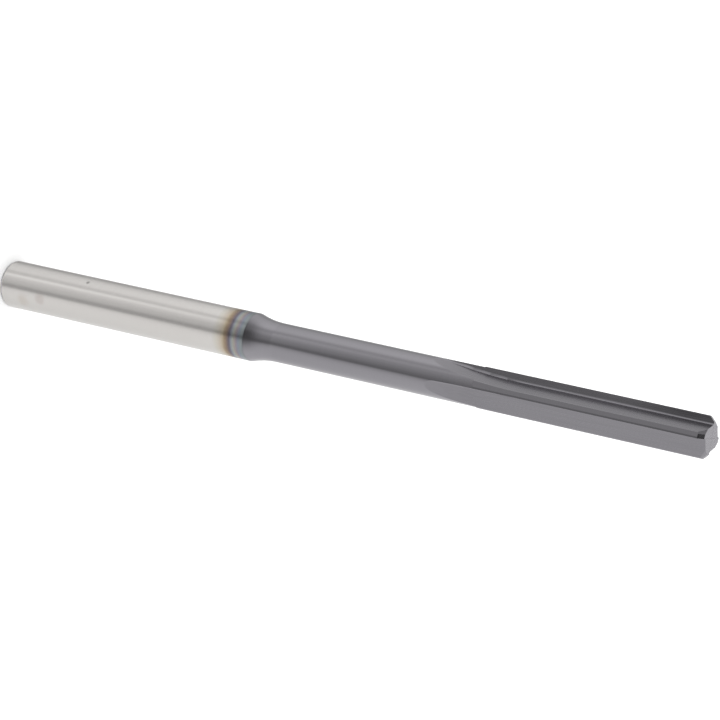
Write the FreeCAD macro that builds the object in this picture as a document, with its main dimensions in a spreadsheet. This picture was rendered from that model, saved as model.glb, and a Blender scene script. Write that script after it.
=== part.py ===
import FreeCAD, Part
import math
import os
import Sketcher

# A solid carbide machine reamer with straight flutes, ground in one piece from a round rod.
#
# The tool stands on its shank. The origin is the centre of the shank's rear end, and the
# cutting tip points to +Z. Angles about the axis run from +X towards +Y. The tool cuts when
# it turns clockwise as seen from the shank's end, so every cutting face looks towards
# growing angles.

# Driving dimensions, in millimetres and degrees.
SIZES = (
    ("overall_length", 100.0),
    ("shank_diameter", 6.0),
    ("shank_length", 37.8),
    ("shank_chamfer", 0.25),
    ("blend_radius", 12.0),  # hollow curve from the shank down to the neck
    ("neck_diameter", 4.85),
    ("cutting_diameter", 5.0),
    ("cutting_length", 30.0),
    ("step_angle", 45.0),  # slope of the small step between the neck and the lands
    ("lead_length", 0.6),  # the chamfer at the tip, which does the cutting
    ("lead_angle", 45.0),
    ("primary_width", 0.52),  # first relief behind the lead's cutting edge
    ("primary_relief", 8.0),
    ("secondary_relief", 31.0),
    ("flute_count", 4),
    ("edge_angle", 270.0),  # where the first cutting edge points
    ("land_angle", 16.2),  # from a cutting edge back to the heel of its land
    ("margin_angle", 4.6),  # the round part of the land, behind the cutting edge
    ("margin_relief", 8.0),  # the flat part, from the margin down to the heel
    ("floor_angle", 20.3),  # how far the flute's floor leans from square to the face
    ("root_radius", 0.3),
    ("full_flute_length", 24.4),  # from the tip to where the grinding wheel starts to rise
    ("wheel_radius", 75.0),
    ("wheel_lean", 15.0),  # how far the wheel's axle leans from the flute's floor
)

# What follows from them.
PITCH = "(360 / Sizes.flute_count)"
MARGIN_END = "(Sizes.edge_angle - Sizes.margin_angle)"
CUTTING_RADIUS = "(Sizes.cutting_diameter / 2)"
LAND_START = "(Sizes.overall_length - Sizes.cutting_length)"
STEP_RUN = f"(abs({CUTTING_RADIUS} - Sizes.neck_diameter / 2) / tan(Sizes.step_angle))"
FULL_DEPTH_END = "(Sizes.overall_length - Sizes.full_flute_length)"
FLOOR_HEIGHT = f"({CUTTING_RADIUS} * cos({PITCH} - Sizes.land_angle - Sizes.floor_angle))"
AXLE_HEIGHT = f"({FLOOR_HEIGHT} + Sizes.wheel_radius)"
SPOKE_ANGLE = "(Sizes.edge_angle + Sizes.floor_angle - Sizes.wheel_lean)"
LEAD_DEPTH = "(Sizes.lead_length * tan(Sizes.lead_angle))"
LEAD_SLANT = "(Sizes.lead_length / cos(Sizes.lead_angle))"

# A cut's section goes a fifth further out than the lands, so that it leaves no skin.
REACH = f"({CUTTING_RADIUS} * 1.2)"

START, END = 1, 2
ORIGIN = (-1, 1)

doc = FreeCAD.newDocument("machine_reamer")
sheet = doc.addObject("Spreadsheet::Sheet", "Sizes")
for row, (name, number) in enumerate(SIZES, start=1):
    sheet.set(f"A{row}", name)
    sheet.set(f"B{row}", str(number))
    sheet.setAlias(f"B{row}", name)
doc.recompute()


def value(words):
    """What an expression in the sheet's sizes comes to, as a plain number."""
    return float(sheet.evalExpression(words))


def point(x, y):
    return FreeCAD.Vector(x, y, 0)


def polar(radius, angle):
    """A point by its distance from the axis and its angle in degrees."""
    turn = math.radians(angle)
    return point(radius * math.cos(turn), radius * math.sin(turn))


def lines(*points):
    """Straight edges from each point to the next."""
    return [Part.LineSegment(a, b) for a, b in zip(points, points[1:])]


def arc(centre, radius, start, end):
    """An arc, counter-clockwise from one angle in degrees to another."""
    circle = Part.Circle(centre, FreeCAD.Vector(0, 0, 1), radius)
    return Part.ArcOfCircle(circle, math.radians(start), math.radians(end))


def origin_feature(body, role):
    """One of the body's own origin planes or axes."""
    return next(f for f in body.Origin.OriginFeatures if f.Role == role)


class Outline:
    """A closed sketch on one of a body's origin planes, with dimensions from the sheet."""

    def __init__(self, body, name, role, edges, smooth=(), offset=None):
        """The edges follow each other. Those in smooth run tangent into the next one."""
        self.sketch = body.newObject("Sketcher::SketchObject", name)
        self.sketch.AttachmentSupport = (origin_feature(body, role), [""])
        self.sketch.MapMode = "FlatFace"
        if offset:
            self.sketch.setExpression("AttachmentOffset", offset)
        self.edges = [self.sketch.addGeometry(edge, False) for edge in edges]
        for i, (first, second) in enumerate(zip(self.edges, self.edges[1:] + self.edges[:1])):
            self.rule("Tangent" if i in smooth else "Coincident", first, END, second, START)

    def guide(self, start, end):
        """A construction line."""
        return self.sketch.addGeometry(Part.LineSegment(start, end), True)

    def rule(self, kind, *where):
        return self.sketch.addConstraint(Sketcher.Constraint(kind, *where))

    def drive(self, name, words, kind, *where):
        """A named dimension that follows an expression."""
        number = value(words)
        at = self.rule(kind, *where, math.radians(number) if kind == "Angle" else number)
        self.sketch.renameConstraint(at, name)
        self.sketch.setExpression("Constraints." + name, words)

    def finish(self):
        doc.recompute()
        if self.sketch.solve() != 0 or not self.sketch.FullyConstrained:
            raise RuntimeError(self.sketch.Name + " has dimensions missing or at odds")
        return self.sketch


def blank_outline(body):
    """Half of the round blank's section. X is the radius, and Y the height on the axis."""
    shank, bevel = value("Sizes.shank_diameter / 2"), value("Sizes.shank_chamfer")
    corner, neck = value("Sizes.shank_length"), value("Sizes.neck_diameter / 2")
    tip, land = value("Sizes.overall_length"), value(CUTTING_RADIUS)
    blend, lead = value("Sizes.blend_radius"), value("Sizes.lead_length")
    blend_turn = math.acos(1 - (shank - neck) / blend)
    blend_end = corner + blend * math.sin(blend_turn)
    step_foot = value(LAND_START)

    front = lines(
        point(0, 0),
        point(0, tip),
        point(land - value(LEAD_DEPTH), tip),
        point(land, tip - lead),
        point(land, step_foot + value(STEP_RUN)),
        point(neck, step_foot),
        point(neck, blend_end),
    )
    curve = arc(point(neck + blend, blend_end), blend, 180, 180 + math.degrees(blend_turn))
    rear = lines(point(shank, corner), point(shank, bevel), point(shank - bevel, 0), point(0, 0))
    edges = [*front, curve, *rear]
    outline = Outline(body, "blank_outline", "XZ_Plane", edges, smooth=[len(front) - 1])
    axis, tip_face, lead_side, land_side, step_side, neck_side = outline.edges[:6]
    blend_arc, shank_side, chamfer, end_face = outline.edges[6:]
    outline.rule("Coincident", axis, START, *ORIGIN)
    for edge in (tip_face, end_face):
        outline.rule("Horizontal", edge)
    for edge in (axis, land_side, neck_side, shank_side):
        outline.rule("Vertical", edge)
    outline.drive("tip_end", "Sizes.overall_length", "DistanceY", *ORIGIN, axis, END)
    outline.drive("lead_run", "Sizes.lead_length", "DistanceY", lead_side, END, lead_side, START)
    outline.drive("lead_drop", LEAD_DEPTH, "DistanceX", lead_side, START, lead_side, END)
    outline.drive("land_radius", CUTTING_RADIUS, "DistanceX", *ORIGIN, land_side, START)
    outline.drive("step_run", STEP_RUN, "DistanceY", step_side, END, step_side, START)
    outline.drive("neck_end", LAND_START, "DistanceY", *ORIGIN, neck_side, START)
    outline.drive("neck_radius", "Sizes.neck_diameter / 2", "DistanceX", *ORIGIN, neck_side, END)
    outline.drive("blend", "Sizes.blend_radius", "Radius", blend_arc)
    outline.drive("shank_end", "Sizes.shank_length", "DistanceY", *ORIGIN, shank_side, START)
    outline.drive("shank_radius", "Sizes.shank_diameter / 2", "DistanceX", *ORIGIN, shank_side, END)
    outline.drive("bevel_run", "Sizes.shank_chamfer", "DistanceY", chamfer, END, chamfer, START)
    outline.drive("bevel_rise", "Sizes.shank_chamfer", "DistanceX", chamfer, END, chamfer, START)
    return outline.finish()


def flute_outline(body, name, station, with_axle=False):
    """A flute's section across the tool: a radial cutting face, a round root and a flat floor.

    The grinding wheel's axle, behind the flute, is the first construction line.
    """
    edge, lean = value("Sizes.edge_angle"), value("Sizes.floor_angle")
    root = value("Sizes.root_radius")
    height, reach = value(FLOOR_HEIGHT), value(REACH)
    up, along = edge + lean, edge + lean + 90
    corner = polar(height / math.cos(math.radians(lean)), edge)
    half_opening = math.radians(90 + lean) / 2
    setback = root / math.tan(half_opening)
    centre = corner + polar(root / math.sin(half_opening), edge + math.degrees(half_opening))
    outer_edge = polar(reach, edge)
    outer_heel = polar(height, up) + polar(math.sqrt(reach**2 - height**2), along)
    edges = [
        Part.LineSegment(outer_heel, corner + polar(setback, along)),
        arc(centre, root, up - 180, edge - 90),
        *lines(
            corner + polar(setback, edge),
            outer_edge,
            outer_edge + outer_heel - corner,
            outer_heel,
        ),
    ]
    offset = f"placement(vector(0; 0; {station}); rotation(0; 0; 0))"
    outline = Outline(body, name, "XY_Plane", edges, smooth=[0, 1], offset=offset)
    floor_side, root_arc, face_side, top_side, back_side = outline.edges
    outline.rule("PointOnObject", *ORIGIN, face_side)
    outline.rule("Parallel", top_side, floor_side)
    outline.rule("Parallel", back_side, face_side)
    outline.drive("face_angle", "Sizes.edge_angle", "Angle", face_side)
    outline.drive("floor_lean", "Sizes.edge_angle + Sizes.floor_angle - 90", "Angle", floor_side)
    outline.drive("floor_height", FLOOR_HEIGHT, "Distance", *ORIGIN, floor_side)
    outline.drive("root", "Sizes.root_radius", "Radius", root_arc)
    outline.drive("edge_reach", REACH, "Distance", *ORIGIN, face_side, END)
    outline.drive("heel_reach", REACH, "Distance", *ORIGIN, floor_side, START)
    if with_axle:
        rise = value(SPOKE_ANGLE)
        hub = polar(value(AXLE_HEIGHT), rise)
        axle = outline.guide(hub, hub + polar(value(AXLE_HEIGHT), rise + 90))
        spoke = outline.guide(point(0, 0), hub)
        outline.rule("Coincident", spoke, START, *ORIGIN)
        outline.rule("Coincident", spoke, END, axle, START)
        outline.drive("spoke_angle", SPOKE_ANGLE, "Angle", spoke)
        outline.rule("Perpendicular", axle, spoke)
        outline.rule("Equal", axle, spoke)
        outline.drive("axle_height", AXLE_HEIGHT, "Distance", spoke)
    return outline.finish()


def margin_outline(body):
    """The sliver between the land's round margin and its heel, above the flat relief."""
    margin_end, reach = value(MARGIN_END), value(REACH)
    lean = margin_end + 90 - value("Sizes.margin_relief")
    low = value(f"{CUTTING_RADIUS} * cos(Sizes.margin_relief)")
    outer_heel = polar(low, lean - 90) - polar(math.sqrt(reach**2 - low**2), lean)
    margin = polar(value(CUTTING_RADIUS), margin_end)
    edges = lines(outer_heel, margin, polar(reach, margin_end), outer_heel)
    offset = "placement(vector(0; 0; Sizes.overall_length); rotation(0; 0; 0))"
    outline = Outline(body, "margin_outline", "XY_Plane", edges, offset=offset)
    flat_side, radial_side, _ = outline.edges
    outline.rule("PointOnObject", *ORIGIN, radial_side)
    outline.drive("margin_end", MARGIN_END, "Angle", radial_side)
    outline.drive("flat_lean", f"{MARGIN_END} + 90 - Sizes.margin_relief", "Angle", flat_side)
    outline.drive("land_radius", CUTTING_RADIUS, "Distance", *ORIGIN, flat_side, END)
    outline.drive("edge_reach", REACH, "Distance", *ORIGIN, radial_side, END)
    outline.drive("heel_reach", REACH, "Distance", *ORIGIN, flat_side, START)
    return outline.finish()


def lead_outline(body):
    """The two relief facets behind the lead's cutting edge, seen along that edge.

    The sketch stands square to the edge, with X towards the heel and Y away from the tool.
    """
    width, reach = value("Sizes.primary_width"), value(f"{REACH} / 2")
    first_drop = value("Sizes.primary_width * tan(Sizes.primary_relief)")
    second_drop = (reach - width) * math.tan(math.radians(value("Sizes.secondary_relief")))
    edges = lines(
        point(0, 0),
        point(width, -first_drop),
        point(reach, -first_drop - second_drop),
        point(reach, reach),
        point(0, reach),
        point(0, 0),
    )
    middle = f"({CUTTING_RADIUS} - {LEAD_DEPTH} / 2)"
    offset = (
        f"placement(vector({middle} * cos(Sizes.edge_angle); {middle} * sin(Sizes.edge_angle); "
        "Sizes.overall_length - Sizes.lead_length / 2); "
        "rotation(Sizes.edge_angle - 90; 0; Sizes.lead_angle))"
    )
    outline = Outline(body, "lead_outline", "XY_Plane", edges, offset=offset)
    primary, secondary, back_side, top_side, edge_side = outline.edges
    outline.rule("Coincident", primary, START, *ORIGIN)
    for edge in (back_side, edge_side):
        outline.rule("Vertical", edge)
    outline.rule("Horizontal", top_side)
    outline.drive("primary_run", "Sizes.primary_width", "DistanceX", *ORIGIN, primary, END)
    outline.drive("primary_lean", "-Sizes.primary_relief", "Angle", primary)
    outline.drive("secondary_lean", "-Sizes.secondary_relief", "Angle", secondary)
    outline.drive("back_reach", f"{REACH} / 2", "DistanceX", *ORIGIN, back_side, END)
    outline.drive("top_reach", f"{REACH} / 2", "DistanceY", *ORIGIN, back_side, END)
    return outline.finish()


def removes(feature, before):
    """Stops the build if a cut took nothing away, as one that points the wrong way does."""
    doc.recompute()
    if not feature.Shape.Volume < before.Shape.Volume:
        raise RuntimeError(feature.Name + " cuts nothing")
    return feature


def pocket(body, sketch, name, length, before, both_ways=False):
    cut = body.newObject("PartDesign::Pocket", name)
    cut.Profile = sketch
    cut.Midplane = both_ways
    cut.setExpression("Length", length)
    return removes(cut, before)


def make_reamer():
    body = doc.addObject("PartDesign::Body", "reamer")
    body.Label = "reamer"

    blank = body.newObject("PartDesign::Revolution", "blank")
    blank.Profile = blank_outline(body)
    blank.ReferenceAxis = (blank.Profile[0], ["V_Axis"])
    blank.Angle = 360
    doc.recompute()

    section = flute_outline(body, "flute_outline", "Sizes.overall_length")
    flute = pocket(body, section, "flute", "Sizes.full_flute_length", blank)

    # Behind the full depth the wheel rises out of the neck on its own radius.
    runout = body.newObject("PartDesign::Groove", "flute_runout")
    section = flute_outline(body, "runout_outline", FULL_DEPTH_END, with_axle=True)
    runout.Profile = section
    runout.ReferenceAxis = (section, ["Axis0"])
    runout.Reversed = True
    runout.setExpression("Angle", f"acos(1 - {CUTTING_RADIUS} / Sizes.wheel_radius)")
    removes(runout, flute)

    relief = pocket(body, margin_outline(body), "margin_relief", "Sizes.cutting_length", runout)
    facets = pocket(body, lead_outline(body), "lead_relief", f"4 * {LEAD_SLANT}", relief, True)

    pattern = body.newObject("PartDesign::PolarPattern", "all_flutes")
    pattern.Originals = [flute, runout, relief, facets]
    pattern.Axis = (origin_feature(body, "Z_Axis"), [""])
    pattern.Angle = 360
    pattern.setExpression("Occurrences", "Sizes.flute_count")
    body.Tip = pattern
    return removes(pattern, facets).getParent()


def check(bodies):
    """Stops before anything is written if a feature failed or a shape isn't sound."""
    for item in doc.Objects:
        if {"Invalid", "Error"} & set(item.State):
            raise RuntimeError(f"{item.Name} failed: {item.State}")
    for body in bodies:
        shape = body.Shape
        if shape.isNull() or not shape.isValid() or len(shape.Solids) != 1:
            raise RuntimeError(body.Label + " isn't one sound solid")


bodies = [make_reamer()]
doc.recompute()
check(bodies)
os.makedirs("parts", exist_ok=True)
for body in bodies:
    body.Shape.exportStep(f"parts/{body.Label}.step")
    box, centre = body.Shape.optimalBoundingBox(), body.Shape.CenterOfGravity
    print(f"{body.Label}: {body.Shape.Volume:.1f} mm3, centre of mass at Z {centre.z:.2f}")
    print(f"  X {box.XMin:.2f} to {box.XMax:.2f}, Y {box.YMin:.2f} to {box.YMax:.2f},"
          f" Z {box.ZMin:.2f} to {box.ZMax:.2f}")
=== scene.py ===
import math

import bpy
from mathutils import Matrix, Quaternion, Vector


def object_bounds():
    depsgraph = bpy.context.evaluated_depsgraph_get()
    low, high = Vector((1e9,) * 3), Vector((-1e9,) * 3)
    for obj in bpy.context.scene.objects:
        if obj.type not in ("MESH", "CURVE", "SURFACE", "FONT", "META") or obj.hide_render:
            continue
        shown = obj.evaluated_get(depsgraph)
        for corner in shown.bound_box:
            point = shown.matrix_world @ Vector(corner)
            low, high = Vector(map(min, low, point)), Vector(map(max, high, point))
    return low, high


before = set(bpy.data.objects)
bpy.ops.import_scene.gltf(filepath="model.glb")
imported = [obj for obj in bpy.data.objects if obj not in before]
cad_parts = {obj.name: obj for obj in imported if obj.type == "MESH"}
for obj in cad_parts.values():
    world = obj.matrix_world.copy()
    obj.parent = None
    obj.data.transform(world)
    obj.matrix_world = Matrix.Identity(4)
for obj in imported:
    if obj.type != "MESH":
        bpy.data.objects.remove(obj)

# A solid carbide machine reamer, standing on its shank. The shank is ground bare metal, and
# the neck and the flutes are coated. The coating thins out over the last millimetres of the
# shank and shows tempering colours there. Lengths are in millimetres unless a name or a
# comment says otherwise, and heights are measured from the shank's rear end.

MM = 0.001
CAD_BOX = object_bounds()
TIP = CAD_BOX[1][2] / MM

SHANK_RADIUS = 3.0
SHANK_END = 37.8
NECK_RADIUS = 2.425
FLUTE_START = 61.5
LANDS_START = 70.0

# The film of coating on the shank's front end, by height: bare metal, straw, brown, purple,
# pale blue, pale green, rose, blue and grey-green, up to the shank's corner.
FILM = (
    (33.2, (213, 210, 207)),
    (33.9, (207, 203, 194)),
    (34.4, (200, 191, 179)),
    (34.8, (189, 177, 157)),
    (35.1, (163, 146, 124)),
    (35.4, (144, 126, 112)),
    (35.7, (119, 109, 114)),
    (35.85, (113, 109, 120)),
    (36.1, (143, 147, 155)),
    (36.35, (160, 163, 157)),
    (36.6, (160, 153, 148)),
    (36.85, (148, 140, 148)),
    (37.15, (137, 143, 154)),
    (37.5, (141, 148, 150)),
    (37.8, (136, 139, 142)),
)
# Just past the corner the coating is full. The film's bands waver by a part of a millimetre.
COATING = (149, 147, 152)
COATING_STEP = 0.1
FILM_WAVER = 0.25

# How finely each pattern varies along X, Y and Z, in waves a metre: the waver of the film, and
# the grinding lines around the shank, along the flutes and across the end face.
WAVER_GRAIN = (500, 500, 100)
ROUND_GRAIN = (300, 300, 9000)
LONG_GRAIN = (7000, 7000, 120)
END_GRAIN = (9000, 500, 1)

# How strongly the grinding lines change the shade of the round surfaces, the flutes' floors,
# the cutting faces near the tip and the end face.
ROUND_CONTRAST = 0.08
FLUTE_CONTRAST = 0.25
FACE_CONTRAST = 1.1
END_CONTRAST = 0.3

# The share of its light that each surface loses. The cutting faces lose more, and get streaky,
# from the first of two heights to the second.
FLUTE_LOSS = 0.1
FACE_LOSS = 0.04
STREAKED_LOSS = 0.3
STREAKS_START = 88.0
STREAKS_FULL = 97.0

# A surface is told from its neighbours by how near it is to a plane or a radius. Its pattern
# fades between the first distance and the second, or the third on the cutting faces.
FADE_START = 0.01
FADE_END = 0.03
FACE_FADE_END = 0.04

# The bare shank reflects a little less like metal than the coating. The change starts here
# and ends at the shank's corner.
SHEEN_START = 35.0
SHANK_METALLIC = 0.88

ROUGHNESS = 0.19
LINE_ROUGHNESS = 0.06
FLUTE_ROUGHNESS = 0.08
LINE_DEPTH = 0.02
LINE_STRENGTH = 0.08


def on_surface(radius, angle, height):
    """A place in metres, from a radius, an angle in degrees and a height."""
    turn = math.radians(angle)
    return (radius * MM * math.cos(turn), radius * MM * math.sin(turn), height * MM)


# Two smudges and a speck on the shank, and a painted highlight (a glint) near the tip: where each
# is, how far its soft edge reaches, and what its middle multiplies the colour by.
MARKS_AND_GLINT = (
    (on_surface(SHANK_RADIUS, 286, 6.4), 1.1, (0.9, 0.87, 0.86, 1)),
    (on_surface(SHANK_RADIUS, 300, 3.6), 1.3, (0.95, 0.93, 0.9, 1)),
    (on_surface(SHANK_RADIUS, 216.5, 12.8), 0.36, (0.5, 0.5, 0.5, 1)),
    # The last is painted light: a highlight that brightens the colour on a land's back near the
    # tip.
    (on_surface(2.41, 247, 89.5), 0.22, (2.2, 2.2, 2.2, 1)),
)
# The share of its reach over which a mark, or the painted glint, has its full shade.
MARK_AND_GLINT_CORE = 0.2

# The studio's brightness by compass angle, in degrees from +X towards +Y. The floor stays out
# of the reflections, so two of the rings are below the horizon: LOW is seen by the steeper
# rays and HIGH by the flatter ones. Both are white, with a dark band on the camera's side that
# ends sharply at 290, a shaded strip near 210 and a dimmer corner near 120. LOW also has a lit
# strip at 220.
LOW = (
    (0, 0.85), (96, 0.85), (112, 0.4), (130, 0.4), (146, 0.7), (165, 0.85), (190, 0.9),
    (205, 0.65), (213, 0.85), (220, 1.25), (228, 0.9), (245, 0.75), (262, 0.65), (276, 0.35),
    (283, 0.5), (290, 0.9), (310, 0.95),
)
HIGH = (
    (0, 1.0), (96, 1.0), (112, 0.5), (128, 0.55), (146, 0.85), (172, 1.05), (190, 1.1),
    (200, 1.0), (210, 0.7), (220, 0.7), (228, 0.8), (245, 0.55), (262, 0.45), (276, 0.25),
    (283, 0.35), (290, 0.65), (300, 0.85), (316, 0.95), (340, 1.0),
)
# Higher up it is dark behind the camera and white on the far side.
DOME = (
    (0, 1.05), (82, 1.16), (130, 1.0), (150, 0.85), (175, 0.65), (195, 0.42), (225, 0.2),
    (250, 0.05), (275, 0.12), (295, 0.3), (320, 0.7), (345, 1.0),
)
# The rise of a direction, from -1 straight down to 1 straight up, over which one ring gives
# way to the next.
LOW_TO_HIGH = (-0.57, -0.535)
HIGH_TO_DOME = (-0.38, 0.06)

# The studio's lamp, floor and camera, in metres, watts and degrees, with the lens in
# millimetres as on a real one.
LAMP_HEIGHT = 1.2
LAMP_SIZE = 2.0
LAMP_POWER = 20
FLOOR_SIZE = 20
FLOOR_COLOUR = (0.9, 0.9, 0.9, 1)
FLOOR_ROUGHNESS = 0.9
CAMERA_PLACE = Vector((-0.04562, -0.31891, 0.24768))
CAMERA_AIM = Vector((-0.00004, 0.00001, 0.05294))
CAMERA_ROLL = 102.52
LENS_MM = 157.5
SENSOR_MM = 36


class Signal:
    """What a node gives. Arithmetic on it adds Math nodes."""

    def __init__(self, board, socket):
        self.board, self.socket = board, socket

    def __add__(self, other):
        return self.board.maths("ADD", self, other)

    def __sub__(self, other):
        return self.board.maths("SUBTRACT", self, other)

    def __rsub__(self, other):
        return self.board.maths("SUBTRACT", other, self)

    def __mul__(self, other):
        return self.board.maths("MULTIPLY", self, other)

    def __truediv__(self, other):
        return self.board.maths("DIVIDE", self, other)

    __radd__, __rmul__ = __add__, __mul__


class Board:
    """A node tree to build on."""

    def __init__(self, tree):
        self.tree = tree
        tree.nodes.clear()

    def node(self, kind, settings, sockets, give=0):
        """Adds a node, sets it, fills its sockets by name or number, and gives one output."""
        node = self.tree.nodes.new(kind)
        for name, setting in settings.items():
            if name == "stops":
                self.set_stops(node.color_ramp, setting)
            else:
                setattr(node, name, setting)
        for name, given in sockets.items():
            if isinstance(given, Signal):
                self.tree.links.new(given.socket, node.inputs[name])
            else:
                node.inputs[name].default_value = given
        return Signal(self, node.outputs[give])

    def set_stops(self, ramp, stops):
        """Sets a ramp's stops from pairs of place and colour."""
        while len(ramp.elements) < len(stops):
            ramp.elements.new(0.5)
        for element, (place, colour) in zip(ramp.elements, stops):
            element.position = place
            element.color = (*colour, 1)

    def maths(self, operation, *numbers):
        return self.node("ShaderNodeMath", {"operation": operation}, dict(enumerate(numbers)))

    def parts(self, vector):
        """The three numbers of a vector."""
        split = self.node("ShaderNodeSeparateXYZ", {}, {"Vector": vector})
        return [Signal(self, socket) for socket in split.socket.node.outputs]

    def ease(self, number, low, high, start=0.0, end=1.0):
        """Runs smoothly from start to end while the number goes from low to high."""
        settings = {"interpolation_type": "SMOOTHSTEP"}
        sockets = {0: number, 1: low, 2: high, 3: start, 4: end}
        return self.node("ShaderNodeMapRange", settings, sockets)

    def ramp(self, share, stops):
        """The colour that a run of stops has at a share of the way along it."""
        return self.node("ShaderNodeValToRGB", {"stops": stops}, {0: share})

    def blend(self, share, low, high, how="MIX"):
        """Two colours mixed: low at a share of 0, high at 1."""
        settings = {"data_type": "RGBA", "blend_type": how}
        return self.node("ShaderNodeMix", settings, {0: share, 6: low, 7: high}, give=2)

    def tint(self, colour, by):
        """A colour multiplied by another."""
        return self.blend(1.0, colour, by, "MULTIPLY")

    def grain(self, vector, fineness):
        """Random variation from -0.5 to 0.5, as fine along X, Y and Z as given."""
        settings = {"operation": "MULTIPLY"}
        stretched = self.node("ShaderNodeVectorMath", settings, {0: vector, 1: fineness})
        noise = {"Vector": stretched, "Scale": 1.0, "Detail": 2.0}
        return self.node("ShaderNodeTexNoise", {}, noise) - 0.5

    def finish(self, shader, kind="ShaderNodeOutputMaterial"):
        """Joins the shader to the tree's output."""
        output = self.tree.nodes.new(kind)
        self.tree.links.new(shader.socket, output.inputs["Surface"])


def linear(shade):
    """A shade of 11 to 255 a channel, as light, by the sRGB curve."""
    return tuple(((channel / 255 + 0.055) / 1.055) ** 2.4 for channel in shade)


def new_material(name):
    material = bpy.data.materials.new(name)
    material.use_nodes = True
    return material, Board(material.node_tree)


def film_colour(board, place, height):
    """Bare metal below the film, its tempering colours, and the coating above it."""
    start, end = FILM[0][0], FILM[-1][0] + COATING_STEP
    stops = [((band - start) / (end - start), linear(shade)) for band, shade in FILM]
    stops.append((1.0, linear(COATING)))
    waver = board.grain(place, WAVER_GRAIN) * FILM_WAVER
    return board.ramp((height + waver - start) / (end - start), stops)


def add_marks_and_glint(board, place, colour):
    """The colour with the marks, and the painted highlight near the tip, laid over it."""
    for where, reach, tint in MARKS_AND_GLINT:
        settings = {"operation": "DISTANCE"}
        gap = board.node("ShaderNodeVectorMath", settings, {0: place, 1: where}, give=1)
        share = board.ease(gap / MM, reach * MARK_AND_GLINT_CORE, reach, 1.0, 0.0)
        colour = board.blend(share, colour, board.tint(colour, tint))
    return colour


def dress_reamer(reamer):
    """Bare ground carbide on the shank, coating on the rest, with the film between them."""
    material, board = new_material("ground_and_coated_carbide")
    place = board.node("ShaderNodeTexCoord", {}, {}, give="Object")
    x, y, z = board.parts(place)
    height = z / MM

    # The flutes' floors lie inside the neck's radius, and the cutting faces in the planes
    # of X and Y. Both are ground lengthwise, and the faces get darker towards the tip.
    fluted = board.ease(height, FLUTE_START, LANDS_START)
    radius = board.maths("SQRT", x * x + y * y) / MM
    flute = board.ease(radius, NECK_RADIUS - FADE_END, NECK_RADIUS - FADE_START, 1.0, 0.0) * fluted
    aside = board.maths("MINIMUM", board.maths("ABSOLUTE", x), board.maths("ABSOLUTE", y)) / MM
    face = board.ease(aside, FADE_START, FACE_FADE_END, 1.0, 0.0) * fluted
    near_tip = board.ease(height, STREAKS_START, STREAKS_FULL)
    end_face = board.ease(height, TIP - FADE_END, TIP - FADE_START)

    round_lines = board.grain(place, ROUND_GRAIN)
    long_lines = board.grain(place, LONG_GRAIN)
    end_lines = board.grain(place, END_GRAIN)
    streaks = long_lines * flute * FLUTE_CONTRAST + long_lines * face * near_tip * FACE_CONTRAST
    shade = 1.0 + round_lines * (1 - flute) * ROUND_CONTRAST + streaks
    shade = shade + end_lines * end_face * END_CONTRAST
    shade = shade * (1 - flute * FLUTE_LOSS) * (1 - face * FACE_LOSS)
    shade = shade * (1 - face * near_tip * STREAKED_LOSS)
    grey = board.node("ShaderNodeCombineColor", {}, {"Red": shade, "Green": shade, "Blue": shade})
    colour = board.tint(film_colour(board, place, height), grey)

    relief = round_lines * (1 - flute) + long_lines * flute
    bumps = {"Strength": LINE_STRENGTH, "Distance": LINE_DEPTH * MM, "Height": relief}
    metal = {
        "Base Color": add_marks_and_glint(board, place, colour),
        "Metallic": board.ease(height, SHEEN_START, SHANK_END, SHANK_METALLIC, 1.0),
        "Roughness": ROUGHNESS + relief * LINE_ROUGHNESS + flute * FLUTE_ROUGHNESS,
        "Normal": board.node("ShaderNodeBump", {}, bumps),
    }
    board.finish(board.node("ShaderNodeBsdfPrincipled", {}, metal))
    reamer.data.materials.clear()
    reamer.data.materials.append(material)


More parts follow.
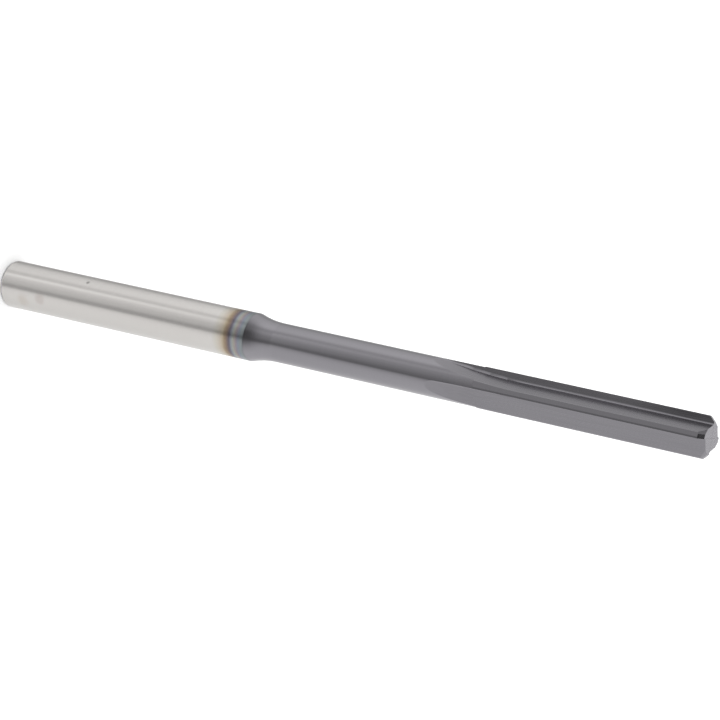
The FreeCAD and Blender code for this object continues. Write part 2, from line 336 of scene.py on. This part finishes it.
def light_studio():
    """The studio around the tool, as the metal reflects it."""
    world = bpy.data.worlds.new("studio")
    bpy.context.scene.world = world
    world.use_nodes = True
    board = Board(world.node_tree)
    x, y, z = board.parts(board.node("ShaderNodeTexCoord", {}, {}, give="Generated"))
    around = board.maths("WRAP", board.maths("ARCTAN2", y, x) / math.tau, 1.0, 0.0)
    rings = []
    for ring in (LOW, HIGH, DOME):
        closed = (*ring, (360, ring[0][1]))
        rings.append(board.ramp(around, [(angle / 360, (light,) * 3) for angle, light in closed]))
    low, high, dome = rings
    sides = board.blend(board.ease(z, *LOW_TO_HIGH), low, high)
    light = board.blend(board.ease(z, *HIGH_TO_DOME), sides, dome)
    glow = board.node("ShaderNodeBackground", {}, {"Color": light})
    board.finish(glow, "ShaderNodeOutputWorld")


def hang_lamp():
    """A soft light overhead for the floor, kept out of the reflections."""
    bpy.ops.object.select_all(action="DESELECT")
    bpy.ops.object.light_add(type="AREA", location=(0, 0, LAMP_HEIGHT))
    lamp = bpy.context.object
    lamp.name = "overhead_light"
    lamp.data.shape = "DISK"
    lamp.data.size = LAMP_SIZE
    lamp.data.energy = LAMP_POWER
    lamp.visible_glossy = False


def lay_floor():
    """A pale floor, also kept out of the reflections."""
    bpy.ops.object.select_all(action="DESELECT")
    bpy.ops.mesh.primitive_plane_add(size=FLOOR_SIZE)
    floor = bpy.context.object
    floor.name = "floor"
    floor.visible_glossy = False
    material, board = new_material("pale_floor")
    paint = {"Base Color": FLOOR_COLOUR, "Roughness": FLOOR_ROUGHNESS}
    board.finish(board.node("ShaderNodeBsdfPrincipled", {}, paint))
    floor.data.materials.append(material)


def place_camera():
    """The camera, aimed and then rolled about its own line of sight."""
    data = bpy.data.cameras.new("camera")
    data.lens = LENS_MM
    data.sensor_width = SENSOR_MM
    camera = bpy.data.objects.new("camera", data)
    bpy.context.scene.collection.objects.link(camera)
    camera.location = CAMERA_PLACE
    camera.rotation_mode = "QUATERNION"
    level = (CAMERA_AIM - CAMERA_PLACE).to_track_quat("-Z", "Y")
    camera.rotation_quaternion = level @ Quaternion((0, 0, 1), math.radians(CAMERA_ROLL))
    bpy.context.scene.camera = camera


dress_reamer(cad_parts["reamer"])
lay_floor()
light_studio()
hang_lamp()
place_camera()
bpy.context.scene.view_settings.view_transform = "Standard"
